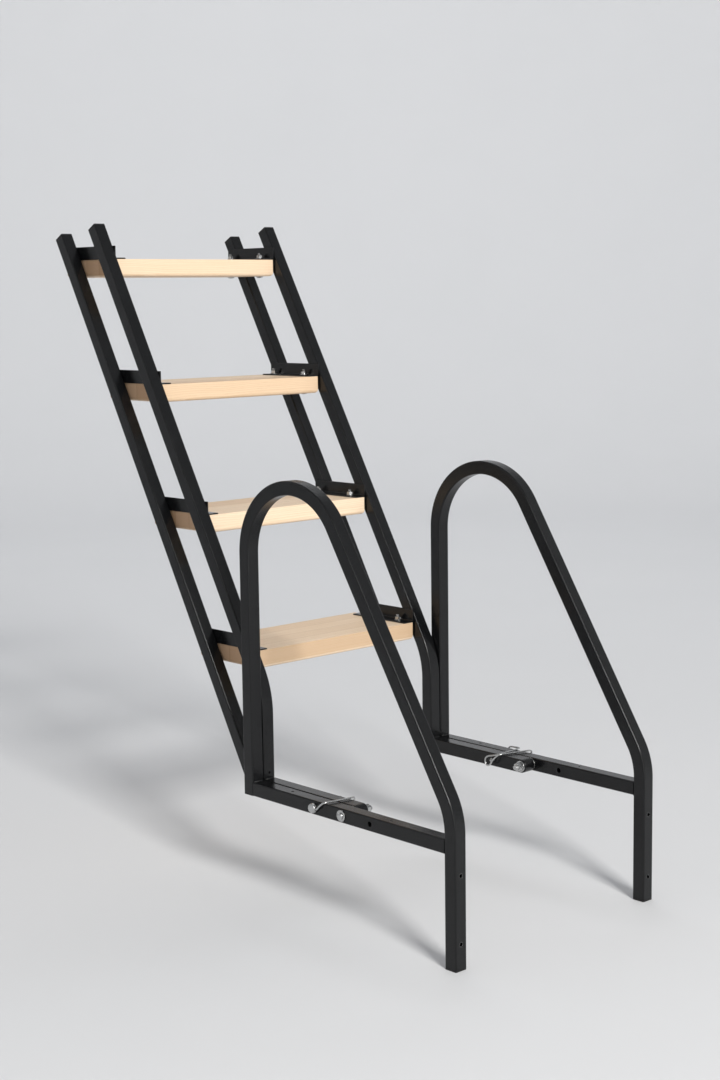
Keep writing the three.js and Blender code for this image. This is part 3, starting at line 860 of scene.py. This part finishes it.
def add_lock_pin(side, sign):
    """Pin with a grooved head that is cross-drilled for its bail, and a chamfered tip."""
    shank = PIN_DIAMETER / 2
    head = PIN_HEAD_RADIUS
    tip = 2 * TUBE + SIDE_GAP + PIN_TAIL
    top = WELD_GAP + PIN_HEAD_LENGTH
    profile = [(0, -tip), (shank - 2 * MM, -tip), (shank, 2 * MM - tip), (shank, WELD_GAP),
               (head - 1 * MM, WELD_GAP), (head, WELD_GAP + 0.8 * MM), (head, WELD_GAP + 2.2 * MM),
               (head - 1.2 * MM, WELD_GAP + 2.8 * MM), (head - 1.2 * MM, WELD_GAP + 3.6 * MM),
               (head, WELD_GAP + 4.2 * MM), (head, top - 1.5 * MM), (head - 1.5 * MM, top), (0, top)]
    pin = moved(revolved("lock_pin", profile), outward(sign, 0, PIN_REACH, HALF))
    cross = at(sign * (OUTER_X + BAIL_REACH), PIN_REACH, HALF)
    pin = cut(pin, [round_bar("y", BAIL_WIRE + BAIL_PLAY, 5 * PIN_HEAD_RADIUS, cross, 20)])
    show(f"{side}_lock_pin_fine", pin, ZINC, f"{side}_pin", [f"{side}_lock_pin"])

    points = [at(sign * (OUTER_X - inward * MM), y * MM, z * MM)
              for inward, y, z in BAIL_ROUTES[side]]
    bail = wire("bail", points, lambda share: BAIL_WIRE / 2)
    show(f"{side}_bail_fine", bail, ZINC, f"{side}_bail", [f"{side}_pin_bail"])


# ---- studio --------------------------------------------------------------------------------
def add_backdrop():
    """A pale floor that sweeps up into a wall all round, far outside the object."""
    floor_radius, sweep, wall_top = 6.5, 4.0, 9.0
    profile = [(0, 0), (2.0, 0), (4.5, 0)]
    profile += [(floor_radius + sweep * math.sin(a), sweep * (1 - math.cos(a)))
                for a in (math.pi / 2 * k / 16 for k in range(17))]
    profile.append((floor_radius + sweep, wall_top))
    mesh = revolved("backdrop", profile, 96)
    for face in mesh.polygons:
        face.use_smooth = True
    material = bpy.data.materials.new("backdrop")
    n = Nodes(material)
    place = n.add("ShaderNodeTexCoord").outputs["Object"]
    dark, light = grey(0.69, (0.975, 0.985, 1.0)), grey(0.71, (0.98, 0.985, 1.0))
    n.surface(
        Base_Color=n.blend(n.noise(place, 1.3), dark, light),
        Roughness=0.9,
        Specular_IOR_Level=0.1,
    )
    mesh.materials.append(material)
    backdrop = bpy.data.objects.new("backdrop", mesh)
    bpy.context.scene.collection.objects.link(backdrop)


def add_softbox(name, target, toward, distance, size, watts, colour):
    """An area light that looks at a target from a direction."""
    light = bpy.data.lights.new(name, "AREA")
    light.size = size
    light.energy = watts
    light.color = colour
    lamp = bpy.data.objects.new(name, light)
    direction = Vector(toward).normalized()
    lamp.location = Vector(target) + direction * distance
    lamp.rotation_euler = direction.to_track_quat("Z", "Y").to_euler()
    lamp.visible_camera = False
    bpy.context.scene.collection.objects.link(lamp)


def add_lights():
    world = bpy.data.worlds.new("studio")
    world.use_nodes = True
    background = world.node_tree.nodes["Background"]
    background.inputs["Color"].default_value = (0.95, 0.97, 1.0, 1.0)
    background.inputs["Strength"].default_value = 0.37
    bpy.context.scene.world = world
    add_softbox("key", (0, 0, 0.5), (-0.28, -0.82, 0.50), 10.5, 2.2, 1060, (1.0, 0.985, 0.96))
    add_softbox("backdrop_glow", (5.4, 5.8, 1.2), (-0.36, -0.38, 0.85), 6.5, 4.0, 150, (0.97, 0.98, 1.0))


# ---- assembly ------------------------------------------------------------------------------
bpy.context.scene.view_settings.view_transform = "Standard"
add_camera()
add_backdrop()
add_lights()
for side, sign in SIDES:
    add_frame(side, sign)
    add_foot(side, sign)
    add_stringers(side, sign)
    add_pivot(side, sign)
    add_lock_pin(side, sign)
tread_bolt = tread_bolt_mesh()
for number in TREADS:
    add_tread(number)
    for side, sign in SIDES:
        add_bracket(side, sign, number)
        add_tread_bolts(tread_bolt, side, sign, number)
